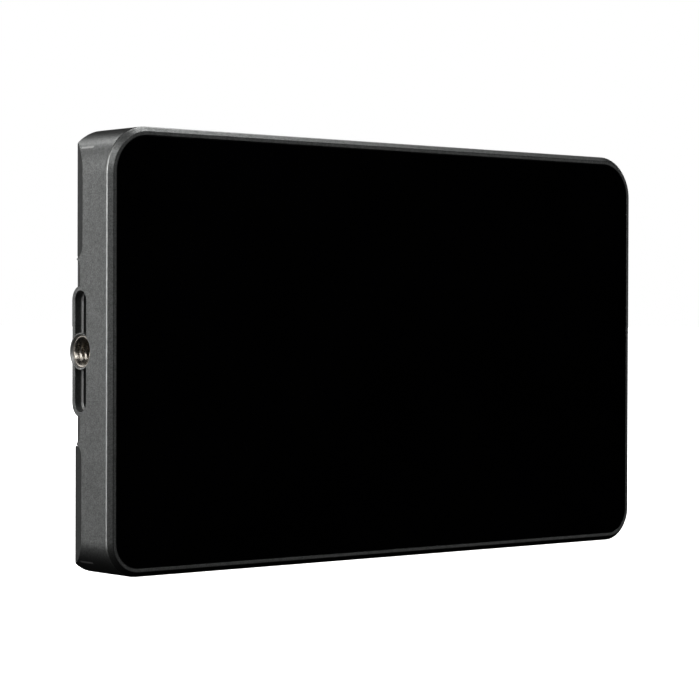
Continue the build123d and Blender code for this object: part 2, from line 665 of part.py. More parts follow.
def make_connector(front, rear, inset):
    """Half of the board connector, as a long box with softened corners."""
    outline = RectangleRounded(CONNECTOR_LENGTH - 2 * inset, CONNECTOR_WIDTH - 2 * inset, CONNECTOR_CORNER)
    return layer(at(CONNECTOR_PLACE, outline), front, rear)


# ---- Rear controls ------------------------------------------------------------------------------
def make_knob(place):
    """A knurled knob with a blind hole for its shaft and a seat for its face disc."""
    knob = disc(place, KNOB_RADIUS, KNOB_FRONT, BODY_DEPTH + KNOB_PROUD)
    rim = knob.faces().sort_by(Axis.Y)[-1].edges()
    knob = chamfer(rim, KNOB_CHAMFER)
    for index in range(KNOB_GROOVES):
        turn = 2 * math.pi * index / KNOB_GROOVES
        spot = (place[0] + KNOB_RADIUS * math.cos(turn), place[1] + KNOB_RADIUS * math.sin(turn))
        knob = knob - disc(spot, KNOB_GROOVE_RADIUS, KNOB_FRONT, BODY_DEPTH + KNOB_PROUD)
    knob = knob - disc(place, CAP_RADIUS, TOTAL_DEPTH - CAP_THICKNESS, TOTAL_DEPTH)
    return knob - disc(place, SHAFT_RADIUS + SHAFT_PRESS_FIT, KNOB_FRONT, SHAFT_TIP)


def make_knob_cap(place):
    """The disc in the knob's face, with a small dimple that marks its angle."""
    cap = disc(place, CAP_RADIUS - CAP_FIT, TOTAL_DEPTH - CAP_THICKNESS, TOTAL_DEPTH)
    dimple = (place[0], place[1] + CAP_RADIUS - DIMPLE_INSET)
    return cap - disc(dimple, DIMPLE_RADIUS, TOTAL_DEPTH - DIMPLE_DEPTH, TOTAL_DEPTH)


def make_shaft(place):
    return disc(place, SHAFT_RADIUS, BOARD_REAR + ENCODER_FLOOR + SHAFT_END_PLAY, SHAFT_TIP)


def make_encoder(place):
    """A fixed rotary encoder: a square body and a round bushing that guides the shaft."""
    half = ENCODER_SIZE / 2
    body = block(place[0] - half, place[0] + half, place[1] - half, place[1] + half,
                 BOARD_REAR, BOARD_REAR + ENCODER_HEIGHT)
    bushing_rear = BODY_DEPTH - WELL_DEPTH - BUSHING_PLAY
    body = body + disc(place, BUSHING_RADIUS, BOARD_REAR + ENCODER_HEIGHT, bushing_rear)
    return body - disc(place, SHAFT_RADIUS + SHAFT_FIT, BOARD_REAR + ENCODER_FLOOR, BODY_DEPTH)


def make_button(place):
    """A round button with a flange under the cover and a short stem."""
    flange_rear = COVER_FRONT - COVER_PLAY
    button = disc(place, BUTTON_RADIUS, flange_rear, BODY_DEPTH + BUTTON_PROUD)
    button = chamfer(button.faces().sort_by(Axis.Y)[-1].edges(), BUTTON_CHAMFER)
    button = button + disc(place, FLANGE_RADIUS, flange_rear - FLANGE_THICKNESS, flange_rear)
    return button + disc(place, STEM_RADIUS, STEM_FRONT, flange_rear - FLANGE_THICKNESS)


def make_plunger(place):
    """The moving contact of a push switch; it is pressed by the button's stem."""
    return disc(place, STEM_RADIUS, BOARD_REAR + SWITCH_FLOOR + PLUNGER_LIFT, STEM_FRONT)


def make_push_switches():
    """The fixed bodies of the push switches, each with a hole that its plunger moves in."""
    outline = RectangleRounded(SWITCH_SIZE, SWITCH_SIZE, SWITCH_CORNER)
    rear = BOARD_REAR + SWITCH_HEIGHT
    pieces = []
    for place in BUTTON_PLACES.values():
        body = layer(at(place, outline), BOARD_REAR, rear)
        pieces.append(body - disc(place, STEM_RADIUS + PLUNGER_PLAY, BOARD_REAR + SWITCH_FLOOR, rear))
    return Compound(pieces)


def make_display_lens():
    outline = RectangleRounded(DISPLAY_WIDTH, DISPLAY_HEIGHT, LENS_CORNER)
    return layer(at(DISPLAY_PLACE, outline), BODY_DEPTH - LENS_THICKNESS, BODY_DEPTH)


def make_display_module():
    outline = Rectangle(DISPLAY_WIDTH - 2 * DISPLAY_INSET, DISPLAY_HEIGHT - 2 * DISPLAY_INSET)
    return layer(at(DISPLAY_PLACE, outline), DISPLAY_FRONT, COVER_FRONT - COVER_PLAY)


def make_display_holder():
    """The frame that holds the display off the board."""
    hole = Rectangle(DISPLAY_WIDTH - 2 * HOLDER_WIDTH, DISPLAY_HEIGHT - 2 * HOLDER_WIDTH)
    outline = Rectangle(DISPLAY_WIDTH, DISPLAY_HEIGHT) - hole
    return layer(at(DISPLAY_PLACE, outline), BOARD_REAR, DISPLAY_FRONT)


def make_light_pipe():
    return disc(LIGHT_PIPE_PLACE, LIGHT_PIPE_RADIUS, BOARD_REAR + LIGHT_PIPE_LIFT, BODY_DEPTH)


# ---- Ports --------------------------------------------------------------------------------------
def make_port_board():
    board = block(PORT_BOARD_LEFT, PORT_INNER_X, -PORT_BOARD_HALF_HEIGHT, PORT_BOARD_HALF_HEIGHT,
                  BOARD_FRONT, PORT_BOARD_REAR)
    for place in PORT_POST_PLACES:
        board = board - disc(place, SCREW_RADIUS + SCREW_HOLE_PLAY, BOARD_FRONT, PORT_BOARD_REAR)
    return board


def make_port_flex():
    """The flat cable that joins the port board to the control board."""
    return block(BOARD_RIGHT - FLEX_OVERLAP, PORT_BOARD_LEFT + FLEX_OVERLAP, -FLEX_HALF_HEIGHT,
                 FLEX_HALF_HEIGHT, BOARD_FRONT - FLEX_THICKNESS, BOARD_FRONT)


def usb_outline(inset):
    """The outline of the charging socket, standing on end, moved inwards by an inset."""
    return SlotOverall(USB_WIDTH - 2 * inset, USB_HEIGHT - 2 * inset, rotation=90)


def make_usb_shell():
    """The metal shell of the charging socket, open towards the side wall."""
    shell = from_side(usb_outline(0), USB_MOUTH_X, USB_MOUTH_X - USB_LENGTH, USB_UP, USB_DEPTH)
    return shell - from_side(usb_outline(USB_WALL), USB_MOUTH_X, USB_BACK_X, USB_UP, USB_DEPTH)


def make_usb_tongue():
    """The contact tongue in the middle of the charging socket, and the plug that carries it."""
    outline = Rectangle(TONGUE_THICKNESS, TONGUE_WIDTH)
    root_x = USB_BACK_X + TONGUE_ROOT
    tongue = from_side(outline, USB_MOUTH_X - TONGUE_SETBACK, root_x, USB_UP, USB_DEPTH)
    return tongue + from_side(usb_outline(USB_WALL + TONGUE_FIT), root_x, USB_BACK_X, USB_UP, USB_DEPTH)


def make_power_slider():
    """The power switch's slider, at the low end of its slot when off, with a ribbed face."""
    up = SWITCH_UP - SLIDER_TRAVEL / 2
    face_x = RIGHT_X - SLIDER_SETBACK
    outline = Rectangle(SLIDER_WIDTH, SLIDER_LENGTH)
    slider = from_side(outline, face_x, RIGHT_X - SLIDER_DEPTH_IN, up, SLIDER_DEPTH)
    groove = Rectangle(SLIDER_WIDTH, SLIDER_RIB_GAP)
    for index in range(SLIDER_RIBS):
        groove_up = up + (index - (SLIDER_RIBS - 1) / 2) * SLIDER_RIB_PITCH
        slider = slider - from_side(groove, face_x, face_x - SLIDER_RIB_DEPTH, groove_up, SLIDER_DEPTH)
    return slider


def make_power_switch():
    """The fixed body of the power switch, with the slot that its slider runs in."""
    outline = Rectangle(POWER_SWITCH_WIDTH, SLIDER_LENGTH + SLIDER_TRAVEL + 2 * POWER_SWITCH_MARGIN)
    body = from_side(outline, PORT_INNER_X, PORT_INNER_X - POWER_SWITCH_DEPTH, SWITCH_UP, SLIDER_DEPTH)
    slot = Rectangle(SLIDER_WIDTH + 2 * SLIDER_GUIDE_PLAY, SLIDER_SLOT)
    floor_x = RIGHT_X - SLIDER_DEPTH_IN - SLIDER_SIDE_PLAY
    return body - from_side(slot, PORT_INNER_X, floor_x, SWITCH_UP, SLIDER_DEPTH)


# ---- Threaded inserts ---------------------------------------------------------------------------
def make_insert():
    """A blind insert along Z, sunk a little below zero, countersunk down to the thread."""
    sink = COUNTERSINK_RADIUS - THREAD_MINOR_RADIUS
    insert = Pos(0, 0, -INSERT_LENGTH / 2) * Cylinder(INSERT_RADIUS, INSERT_LENGTH)
    insert = insert - Pos(0, 0, -THREAD_DEPTH / 2) * Cylinder(THREAD_MINOR_RADIUS, THREAD_DEPTH)
    insert = insert - Pos(0, 0, -sink / 2) * Cone(THREAD_MINOR_RADIUS, COUNTERSINK_RADIUS, sink)
    return Pos(0, 0, -INSERT_RECESS) * insert


# ---- Every piece of the light -------------------------------------------------------------------
def make_pieces():
    """All the pieces by name, as solids or as groups of identical solids."""
    pieces = {
        "housing": make_housing(),
        "rear_cover": make_rear_cover(),
        "front_window": make_front_window(),
        "window_gasket": make_window_gasket(),
        "diffuser_sheet": make_diffuser(),
        "reflector_frame": make_reflector_frame(),
        "led_board": engine_plate(LED_BOARD_FRONT, SPREADER_FRONT),
        "warm_leds": make_leds(True),
        "cool_leds": make_leds(False),
        "heat_spreader": make_heat_spreader(),
        "spreader_standoffs": make_standoffs(),
        "battery_cell_left": make_cell(CELL_CENTRES[0]),
        "battery_cell_right": make_cell(CELL_CENTRES[1]),
        "battery_pads": make_battery_pads(),
        "battery_bracket": make_battery_bracket(),
        "battery_protection_board": make_protection_board(),
        "control_board": make_control_board(),
        "power_inductors": make_inductors(),
        "capacitors": make_capacitors(),
        "controller_chips": make_chips(),
        "board_plug": make_connector(SPREADER_FRONT, CONNECTOR_JOIN, PLUG_INSET),
        "board_socket": make_connector(CONNECTOR_JOIN, BOARD_FRONT, 0),
        "push_switches": make_push_switches(),
        "display_lens": make_display_lens(),
        "display_module": make_display_module(),
        "display_holder": make_display_holder(),
        "status_light_pipe": make_light_pipe(),
        "port_board": make_port_board(),
        "port_flex_cable": make_port_flex(),
        "usb_socket_shell": make_usb_shell(),
        "usb_socket_tongue": make_usb_tongue(),
        "power_slider": make_power_slider(),
        "power_switch_body": make_power_switch(),
        "side_thread_insert": in_left_wall(make_insert()),
        "bottom_thread_insert": in_bottom_wall(make_insert()),
    }
    for name, place in DIAL_PLACES.items():
        pieces[name + "_knob"] = make_knob(place)
        pieces[name + "_knob_cap"] = make_knob_cap(place)
        pieces[name + "_shaft"] = make_shaft(place)
        pieces[name + "_encoder"] = make_encoder(place)
    for name, place in BUTTON_PLACES.items():
        pieces[name + "_button"] = make_button(place)
        pieces[name + "_plunger"] = make_plunger(place)
    screws = {
        "led_board_screws": [cap_screw(place, LED_BOARD_FRONT, ENGINE_SCREW_LENGTH, True)
                             for place in POST_PLACES],
        "bracket_screws": [cap_screw(place, LUG_REAR, BRACKET_SCREW_LENGTH, False) for place in LUG_PLACES],
        "control_board_screws": [cap_screw(place, BOARD_FRONT, BOARD_SCREW_LENGTH, True)
                                 for place in BOARD_SCREW_PLACES],
        "port_board_screws": [cap_screw(place, BOARD_FRONT, PORT_SCREW_LENGTH, True)
                              for place in PORT_POST_PLACES],
        "rear_cover_screws": [cover_screw(place) for place in BOSS_PLACES],
    }
    for name, group in screws.items():
        pieces[name] = Compound(group)
    return pieces


for piece_name, piece in make_pieces().items():
    export_step(piece, os.path.join("parts", piece_name + ".step"))
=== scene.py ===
"""LED panel light: materials, thread detail, printed marks, studio light and camera."""

import json
import math

import bmesh
import bpy
from mathutils import Matrix, Vector


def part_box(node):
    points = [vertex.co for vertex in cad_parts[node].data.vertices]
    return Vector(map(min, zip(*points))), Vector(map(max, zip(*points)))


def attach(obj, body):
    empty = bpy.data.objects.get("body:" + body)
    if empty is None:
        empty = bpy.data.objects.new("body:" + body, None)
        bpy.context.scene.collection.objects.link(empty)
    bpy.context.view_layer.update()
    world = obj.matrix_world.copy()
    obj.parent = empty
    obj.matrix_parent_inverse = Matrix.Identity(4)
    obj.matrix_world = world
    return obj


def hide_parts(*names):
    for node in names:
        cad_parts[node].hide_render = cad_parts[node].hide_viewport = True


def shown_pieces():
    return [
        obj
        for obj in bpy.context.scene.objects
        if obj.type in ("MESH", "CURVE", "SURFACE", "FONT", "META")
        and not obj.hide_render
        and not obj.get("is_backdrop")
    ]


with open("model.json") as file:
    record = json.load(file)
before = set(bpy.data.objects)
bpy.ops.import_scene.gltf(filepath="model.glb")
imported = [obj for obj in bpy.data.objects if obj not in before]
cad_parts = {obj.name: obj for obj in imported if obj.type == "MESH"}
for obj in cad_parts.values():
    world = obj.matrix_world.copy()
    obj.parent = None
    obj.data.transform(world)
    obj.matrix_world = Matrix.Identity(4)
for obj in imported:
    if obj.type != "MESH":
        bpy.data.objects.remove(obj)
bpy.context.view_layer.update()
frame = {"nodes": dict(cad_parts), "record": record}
MM = 0.001


# ---- Places read from the frame -----------------------------------------------------------------
def box_centre(node):
    low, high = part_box(node)
    return (low + high) / 2


HOUSING_LOW, HOUSING_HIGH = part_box("housing")
FRONT_Y = HOUSING_LOW.y
REAR_Y = HOUSING_HIGH.y
LEFT_X = HOUSING_LOW.x
MIDDLE_Z = (HOUSING_LOW.z + HOUSING_HIGH.z) / 2
MOUNTS = {mount["name"]: mount for mount in frame["record"]["mounts"]}


# ---- Node helpers -------------------------------------------------------------------------------
class Shader:
    """A material being built: it adds nodes and links them, from left to right."""

    def __init__(self, name):
        self.material = bpy.data.materials.new(name)
        self.material.use_nodes = True
        self.tree = self.material.node_tree
        self.tree.nodes.clear()
        self.output = self.add("ShaderNodeOutputMaterial")
        self.surface = self.add("ShaderNodeBsdfPrincipled")
        self.tree.links.new(self.surface.outputs["BSDF"], self.output.inputs["Surface"])
        self.place = self.add("ShaderNodeTexCoord").outputs["Object"]

    def add(self, kind, **settings):
        node = self.tree.nodes.new(kind)
        for key, value in settings.items():
            setattr(node, key, value)
        return node

    def feed(self, socket, value):
        """Links an output to a socket, or sets the socket to a plain value."""
        if isinstance(value, bpy.types.NodeSocket):
            self.tree.links.new(value, socket)
        else:
            socket.default_value = value

    def noise(self, size, detail=2.0, roughness=0.5, place=None):
        """Noise from 0 to 1 whose features are about size metres across."""
        node = self.add("ShaderNodeTexNoise")
        self.feed(node.inputs["Vector"], place or self.place)
        node.inputs["Scale"].default_value = 1.0 / size
        node.inputs["Detail"].default_value = detail
        node.inputs["Roughness"].default_value = roughness
        return node.outputs["Fac"]

    def maths(self, operation, first, second=0.0, third=0.0):
        node = self.add("ShaderNodeMath", operation=operation)
        for socket, value in zip(node.inputs, (first, second, third)):
            self.feed(socket, value)
        return node.outputs["Value"]

    def ramp(self, value, low, high, to_low=0.0, to_high=1.0, smooth=False):
        """Maps a value from low..high to to_low..to_high, clamped."""
        node = self.add("ShaderNodeMapRange", clamp=True)
        node.interpolation_type = "SMOOTHSTEP" if smooth else "LINEAR"
        for key, number in (("Value", value), ("From Min", low), ("From Max", high),
                            ("To Min", to_low), ("To Max", to_high)):
            self.feed(node.inputs[key], number)
        return node.outputs["Result"]

    def mix(self, factor, first, second):
        """A colour between two colours."""
        node = self.add("ShaderNodeMix", data_type="RGBA")
        self.feed(node.inputs["Factor"], factor)
        self.feed(node.inputs["A"], colour(first))
        self.feed(node.inputs["B"], colour(second))
        return node.outputs["Result"]

    def axis(self, name):
        """One of the X, Y and Z coordinates, in metres."""
        node = self.add("ShaderNodeSeparateXYZ")
        self.feed(node.inputs["Vector"], self.place)
        return node.outputs[name]

    def bump(self, height, distance, strength=1.0, normal=None):
        node = self.add("ShaderNodeBump")
        node.inputs["Strength"].default_value = strength
        node.inputs["Distance"].default_value = distance
        self.feed(node.inputs["Height"], height)
        if normal is not None:
            self.feed(node.inputs["Normal"], normal)
        return node.outputs["Normal"]

    def stretched(self, scale, centre=(0, 0, 0)):
        """Object coordinates about a centre, scaled along each axis."""
        shift = self.add("ShaderNodeVectorMath", operation="SUBTRACT")
        self.feed(shift.inputs[0], self.place)
        shift.inputs[1].default_value = centre
        node = self.add("ShaderNodeVectorMath", operation="MULTIPLY")
        self.feed(node.inputs[0], shift.outputs["Vector"])
        node.inputs[1].default_value = scale
        return node.outputs["Vector"]

    def finish(self, base, roughness, metallic=0.0, normal=None, **sockets):
        self.feed(self.surface.inputs["Base Color"], colour(base))
        self.feed(self.surface.inputs["Roughness"], roughness)
        self.surface.inputs["Metallic"].default_value = metallic
        if normal is not None:
            self.feed(self.surface.inputs["Normal"], normal)
        for key, value in sockets.items():
            self.surface.inputs[key.replace("_", " ")].default_value = value
        return self.material


def colour(value):
    """Three numbers become an opaque colour, and sockets pass through."""
    if isinstance(value, bpy.types.NodeSocket):
        return value
    return (*value, 1.0)


def between(first, second, factor):
    """A colour on the way from one colour to another, as plain numbers."""
    return tuple(a + (b - a) * factor for a, b in zip(first, second))


# ---- Materials of the outside -------------------------------------------------------------------
BLACK = (0, 0, 0)
WHITE = (1, 1, 1)
ANODISED = (0.235, 0.242, 0.238)
# Colour of the painted highlight along the edge between the side wall and the front chamfer.
EDGE_HIGHLIGHT_TONE = (0.86, 0.87, 0.86)
# Colour of the bare bore mouth and of the painted highlight at the slot step.
BARE_AND_HIGHLIT_FACE = (0.8, 0.8, 0.79)
BLAST_GRAIN = 0.32 * MM
BLAST_CLUSTER = 1.1 * MM
CHAMFER_DEPTH = 1.15 * MM
EDGE_HALF_WIDTH = 0.22 * MM
EDGE_SOFTNESS = 0.18 * MM
MOUTH_RADIUS = 4.0 * MM
MOUTH_FADE = 0.12 * MM
SLOT_STEP_DEPTH = 1.9 * MM
LEDGE_HIGHLIGHT_FADE = (0.24 * MM, 0.08 * MM)
SLOT_REACH = 2.5 * MM
MOUNT_REACH = 6.0 * MM


def bare_mouth_and_ledge_highlight(sh):
    """A mask round the side mount: bare metal at the mouth of its bore, and a painted highlight on a band
    at the slot step's depth.
    """
    place = MOUNTS["side_thread"]["pos_m"]
    across = sh.maths("SUBTRACT", sh.axis("Y"), place[1])
    up = sh.maths("SUBTRACT", sh.axis("Z"), place[2])
    radius = sh.maths("SQRT", sh.maths("MULTIPLY_ADD", up, up, sh.maths("MULTIPLY", across, across)))
    mouth = sh.ramp(radius, MOUTH_RADIUS + MOUTH_FADE, MOUTH_RADIUS, 0.0, 0.75)
    # Painted highlight: a band at the slot step's depth, within reach of the mount across.
    below = sh.maths("ABSOLUTE", sh.maths("SUBTRACT", sh.axis("X"), LEFT_X + SLOT_STEP_DEPTH))
    ledge_highlight = sh.ramp(below, *LEDGE_HIGHLIGHT_FADE, 0.0, 0.85)
    inside = sh.maths("LESS_THAN", sh.maths("ABSOLUTE", across), SLOT_REACH)
    bare_and_highlit = sh.maths("MAXIMUM", mouth, sh.maths("MULTIPLY", ledge_highlight, inside))
    return sh.maths("MULTIPLY", bare_and_highlit, sh.maths("LESS_THAN", sh.axis("X"), LEFT_X + MOUNT_REACH))


def blasted_metal(name, base, roughness=0.42, painted_highlights=False):
    """Bead-blasted, anodised aluminium: speckle, cloudiness and fine bump; on request also painted
    highlights along the front chamfer's edge and at the side mount's slot step, and a bare ring at the
    mount's bore.
    """
    sh = Shader(name)
    grain = sh.noise(BLAST_GRAIN, detail=1.0)
    cluster = sh.noise(BLAST_CLUSTER, detail=3.0, roughness=0.6)
    cloud = sh.noise(14 * MM, detail=2.0)
    blend = sh.maths("ADD", sh.maths("MULTIPLY", grain, 0.65), sh.maths("MULTIPLY", cluster, 0.35))
    speckle = sh.ramp(blend, 0.34, 0.66)
    tone = sh.mix(speckle, between(base, BLACK, 0.3), between(base, WHITE, 0.105))
    tone = sh.mix(sh.ramp(cloud, 0.35, 0.7, 0.0, 0.12), tone, between(base, BLACK, 0.45))
    rough = sh.ramp(speckle, 0.0, 1.0, roughness + 0.05, roughness - 0.04)
    if painted_highlights:
        # Painted highlight: a bright band where the side wall meets the front chamfer, broken up by noise.
        offset = sh.maths("ABSOLUTE", sh.maths("SUBTRACT", sh.axis("Y"), FRONT_Y + CHAMFER_DEPTH))
        edge_highlight = sh.ramp(offset, EDGE_HALF_WIDTH, EDGE_HALF_WIDTH * 0.45, smooth=True)
        highlight_breakup = sh.ramp(sh.noise(2.2 * MM, detail=3.0), 0.3, 0.6, 0.72, 1.0)
        edge_highlight = sh.maths("MULTIPLY", edge_highlight, highlight_breakup)
        tone = sh.mix(edge_highlight, tone, EDGE_HIGHLIGHT_TONE)
        rough = sh.maths("SUBTRACT", rough, sh.maths("MULTIPLY", edge_highlight, 0.08))
        # Bare metal at the bore's mouth, and the painted highlight at the slot step.
        bare_and_highlit = bare_mouth_and_ledge_highlight(sh)
        tone = sh.mix(bare_and_highlit, tone, BARE_AND_HIGHLIT_FACE)
        rough = sh.maths("ADD", rough, sh.maths("MULTIPLY", bare_and_highlit, 0.12))
    rounded = sh.add("ShaderNodeBevel", samples=4)
    rounded.inputs["Radius"].default_value = EDGE_SOFTNESS
    pits = sh.bump(grain, 0.018 * MM, 0.55, rounded.outputs["Normal"])
    return sh.finish(tone, rough, metallic=1.0, normal=sh.bump(cluster, 0.03 * MM, 0.25, pits))


def gloss_black(name, base=(0.0012, 0.0012, 0.0014)):
    """Polished black window: mirror-like, with the faintest waviness and wipe marks in its gloss."""
    sh = Shader(name)
    wipe = sh.noise(1.0, detail=4.0, roughness=0.6, place=sh.stretched((90.0, 90.0, 22.0)))
    rough = sh.ramp(wipe, 0.35, 0.75, 0.028, 0.055)
    tone = sh.mix(sh.ramp(sh.noise(30 * MM), 0.3, 0.7), base, between(base, (0.004, 0.004, 0.005), 0.5))
    wave = sh.noise(60 * MM, detail=0.0)
    return sh.finish(tone, rough, normal=sh.bump(wave, 0.02 * MM, 0.2), IOR=1.45)


def moulded(name, base, roughness=0.5, grain=0.25 * MM, depth=0.02 * MM, specular=0.5):
    """Moulded plastic or rubber with a fine eroded texture."""
    sh = Shader(name)
    skin = sh.noise(grain, detail=2.0)
    cloud = sh.noise(9 * MM, detail=2.0)
    tone = sh.mix(sh.ramp(cloud, 0.3, 0.7), between(base, BLACK, 0.18), between(base, WHITE, 0.03))
    rough = sh.ramp(skin, 0.3, 0.7, roughness - 0.06, roughness + 0.06)
    made = sh.finish(tone, rough, normal=sh.bump(skin, depth, 0.5))
    sh.surface.inputs["Specular IOR Level"].default_value = specular
    return made


def turned_metal(name, base, roughness, centre, axis, pitch=0.12 * MM):
    """Metal cut on a lathe: fine rings about an axis, with streaks of gloss."""
    sh = Shader(name)
    flat = [0.0 if letter == axis else 1.0 for letter in "XYZ"]
    length = sh.add("ShaderNodeVectorMath", operation="LENGTH")
    sh.feed(length.inputs[0], sh.stretched(flat, centre))
    radius = length.outputs["Value"]
    wobble = sh.noise(0.5 * MM, detail=2.0)
    drift = sh.maths("MULTIPLY", wobble, 2.5)
    phase = sh.maths("ADD", sh.maths("MULTIPLY", radius, 2 * math.pi / pitch), drift)
    rings = sh.maths("MULTIPLY_ADD", sh.maths("SINE", phase), 0.5, 0.5)
    tone = sh.mix(rings, between(base, BLACK, 0.12), between(base, WHITE, 0.08))
    stain = sh.ramp(sh.noise(1.6 * MM), 0.4, 0.7, 0.0, 0.25)
    tone = sh.mix(stain, tone, between(base, (0.05, 0.03, 0.02), 0.4))
    rough = sh.ramp(wobble, 0.3, 0.7, roughness - 0.06, roughness + 0.08)
    return sh.finish(tone, rough, metallic=1.0, normal=sh.bump(rings, 0.006 * MM, 0.4))


def plain_metal(name, base, roughness=0.35):
    """Stamped or drawn metal with fine scratches along its length."""
    sh = Shader(name)
    streak = sh.noise(1.0, detail=3.0, place=sh.stretched((900.0, 4200.0, 4200.0)))
    tone = sh.mix(streak, between(base, BLACK, 0.16), between(base, WHITE, 0.06))
    rough = sh.ramp(streak, 0.3, 0.7, roughness - 0.06, roughness + 0.07)
    return sh.finish(tone, rough, metallic=1.0, normal=sh.bump(streak, 0.006 * MM, 0.4))


def clear_plastic(name):
    """The status light's clear rod, faintly milky."""
    sh = Shader(name)
    milk = sh.noise(0.6 * MM, detail=2.0)
    tone = sh.mix(milk, (0.78, 0.82, 0.82), (0.92, 0.95, 0.95))
    return sh.finish(tone, sh.ramp(milk, 0.3, 0.7, 0.12, 0.24), normal=sh.bump(milk, 0.008 * MM, 0.3),
                     Transmission_Weight=0.6, IOR=1.49)


# ---- Materials of the inside --------------------------------------------------------------------
def circuit_board(name, base):
    """Solder mask over fine copper tracks that show as a slightly lighter grid."""
    sh = Shader(name)
    cells = sh.add("ShaderNodeTexVoronoi", feature="DISTANCE_TO_EDGE")
    sh.feed(cells.inputs["Vector"], sh.place)
    cells.inputs["Scale"].default_value = 1 / (2.2 * MM)
    cells.inputs["Randomness"].default_value = 0.35
    tracks = sh.ramp(cells.outputs["Distance"], 0.04, 0.1, 1.0, 0.0, smooth=True)
    tone = sh.mix(tracks, base, between(base, WHITE, 0.12))
    tone = sh.mix(sh.ramp(sh.noise(12 * MM), 0.3, 0.7, 0.0, 0.3), tone, between(base, BLACK, 0.3))
    return sh.finish(tone, sh.ramp(tracks, 0, 1, 0.32, 0.24), normal=sh.bump(tracks, 0.03 * MM, 0.4))


def phosphor(name, base):
    """An emitter: phosphor in the middle of each package, in a pale frame."""
    sh = Shader(name)
    grain = sh.noise(0.12 * MM, detail=1.0)
    tone = sh.mix(grain, between(base, BLACK, 0.1), between(base, WHITE, 0.15))
    return sh.finish(tone, sh.ramp(grain, 0, 1, 0.35, 0.5), normal=sh.bump(grain, 0.01 * MM, 0.3))


KNOB_FACE = (0.16, 0.16, 0.162)
KNOB_RING_PITCH = 0.16 * MM


def make_materials():
    """One material for each of the record's material slots."""
    made = {
        "housing_metal": blasted_metal("housing_blasted", ANODISED, painted_highlights=True),
        "cover_metal": blasted_metal("cover_blasted", between(ANODISED, BLACK, 0.25), 0.46),
        "window_black": gloss_black("window_gloss"),
        "gasket_rubber": moulded("gasket_foam", (0.004, 0.004, 0.004), 0.85, specular=0.15),
        "diffuser_white": moulded("diffuser_milk", (0.82, 0.82, 0.8), 0.55),
        "reflector_white": moulded("reflector_moulding", (0.86, 0.86, 0.84), 0.4),
        "led_board_mask": circuit_board("emitter_board_mask", (0.84, 0.84, 0.82)),
        "led_warm": phosphor("warm_phosphor", (0.85, 0.42, 0.08)),
        "led_cool": phosphor("cool_phosphor", (0.85, 0.75, 0.15)),
        "spreader_metal": plain_metal("spreader_mill", (0.6, 0.6, 0.6), 0.4),
        "standoff_brass": plain_metal("standoff_turned", (0.72, 0.52, 0.25), 0.3),
        "cell_wrap": plain_metal("cell_laminate", (0.52, 0.53, 0.55), 0.38),
        "foam_pad": moulded("pad_foam", (0.04, 0.04, 0.045), 0.9, grain=0.6 * MM, depth=0.1 * MM),
        "bracket_plastic": moulded("bracket_moulding", (0.02, 0.02, 0.021)),
        "board_mask": circuit_board("control_board_mask", (0.006, 0.07, 0.028)),
        "inductor_body": moulded("inductor_sinter", (0.06, 0.06, 0.065), 0.7),
        "capacitor_body": moulded("capacitor_ceramic", (0.33, 0.22, 0.13), 0.35),
        "chip_body": moulded("chip_epoxy", (0.015, 0.015, 0.016), 0.5),
        "connector_plastic": moulded("connector_nylon", (0.68, 0.65, 0.56), 0.4),
        "flex_film": moulded("flex_amber", (0.45, 0.2, 0.03), 0.25),
        "switch_body": moulded("switch_moulding", (0.025, 0.025, 0.025), 0.45),
        "display_glass": gloss_black("display_lens_gloss", (0.002, 0.002, 0.0026)),
        "display_panel": gloss_black("display_panel_gloss", (0.006, 0.006, 0.008)),
        "light_pipe_clear": clear_plastic("light_pipe"),
        "usb_steel": plain_metal("usb_shell_drawn", (0.5, 0.5, 0.5), 0.32),
        "usb_tongue_plastic": moulded("usb_tongue_moulding", (0.015, 0.015, 0.015), 0.4),
        "slider_plastic": moulded("slider_moulding", (0.016, 0.016, 0.017), 0.5),
        "knob_metal": blasted_metal("knob_anodised", (0.06, 0.06, 0.062), 0.4),
        "shaft_steel": plain_metal("shaft_turned", (0.6, 0.6, 0.6), 0.25),
        "encoder_steel": plain_metal("encoder_case", (0.5, 0.5, 0.5), 0.35),
        "button_rubber": moulded("button_soft", (0.018, 0.018, 0.019), 0.62, grain=0.2 * MM),
        "plunger_plastic": moulded("plunger_moulding", (0.03, 0.03, 0.03), 0.45),
        "screw_steel": plain_metal("screw_oxide", (0.07, 0.07, 0.072), 0.38),
        "insert_steel": turned_metal("insert_turned", (0.62, 0.57, 0.5), 0.28,
                                     box_centre("side_thread_insert"), "X"),
    }
    return made


def dress_nodes(made):
    """Gives every CAD node the material of its slot; each dial's face has rings about its own axis."""
    slots = {part["node"]: part["material_slot"] for part in frame["record"]["subparts"]}
    for node, piece in frame["nodes"].items():
        if slots[node] == "knob_cap_metal":
            material = turned_metal(node + "_spun", KNOB_FACE, 0.3, box_centre(node), "Y", KNOB_RING_PITCH)
        else:
            material = made[slots[node]]
        piece.material_slots[0].material = material


# ---- Mesh helpers -------------------------------------------------------------------------------
def add_piece(name, bm, material, smooth_angle=None):
    mesh = bpy.data.meshes.new(name)
    bmesh.ops.recalc_face_normals(bm, faces=bm.faces)
    bm.to_mesh(mesh)
    bm.free()
    if smooth_angle is not None:
        mesh.shade_smooth()
        mesh.set_sharp_from_angle(angle=math.radians(smooth_angle))
    mesh.materials.append(material)
    piece = bpy.data.objects.new(name, mesh)
    bpy.context.scene.collection.objects.link(piece)
    return piece


# ---- Threaded inserts ---------------------------------------------------------------------------
THREAD_PITCH = 25.4 / 20 * MM
THREAD_MAJOR = 3.175 * MM
INSERT_RADIUS = 3.68 * MM
SINK_RADIUS = 3.3 * MM
THREAD_END = 6.5 * MM
THREAD_STEPS = 72
THREAD_ROWS = 8
RIM_EDGE = 0.12 * MM


